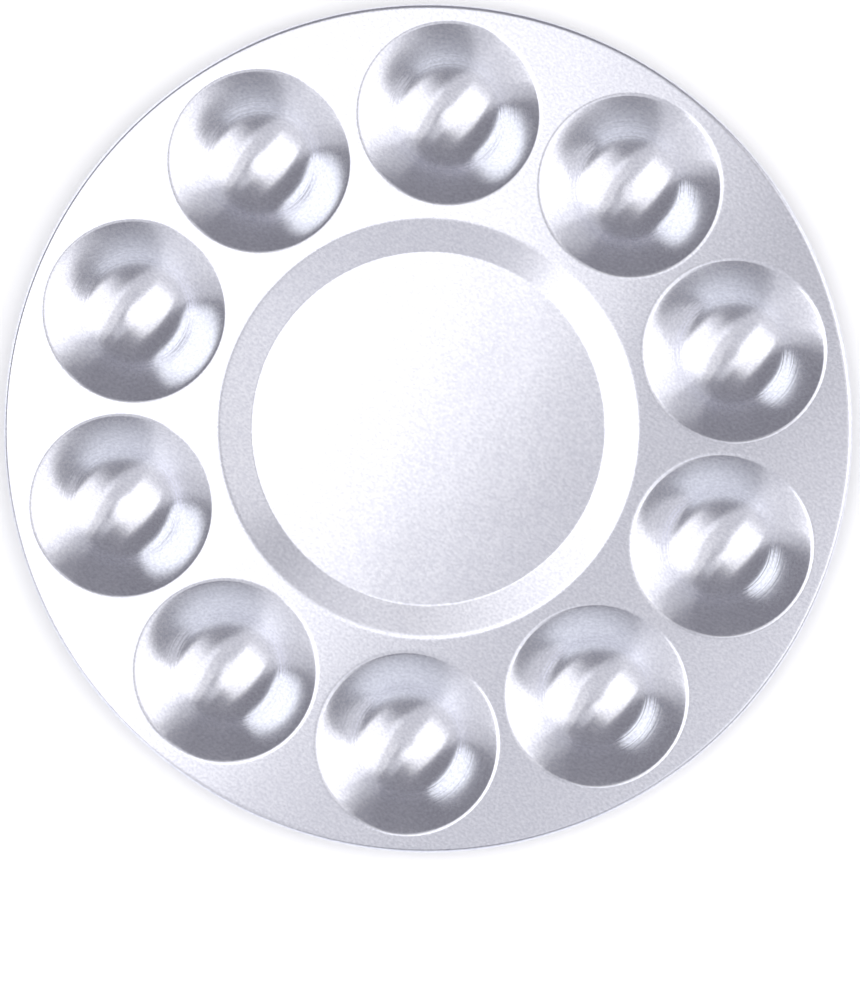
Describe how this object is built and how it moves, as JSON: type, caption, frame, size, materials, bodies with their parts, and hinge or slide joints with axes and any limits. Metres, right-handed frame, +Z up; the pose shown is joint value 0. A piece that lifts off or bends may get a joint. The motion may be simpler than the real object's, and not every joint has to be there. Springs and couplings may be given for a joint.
{
  "type": "round paint palette",
  "caption": "Round palette pressed from one aluminium sheet, with a ring of domed paint wells around a shallow central mixing pan and a rolled edge.",
  "frame": {"origin": "on the disc's axis, level with the undersides of the wells that it stands on", "axes": "+Z up along the disc's axis, out of the wells' mouths; +X through the middle of one well"},
  "size_m": [0.17, 0.17, 0.0089],
  "materials": {
    "aluminium_sheet": "bright mill finish with a fine rolling grain"
  },
  "bodies": {
    "root": {"palette_tray": "aluminium_sheet"}
  },
  "joints": []
}
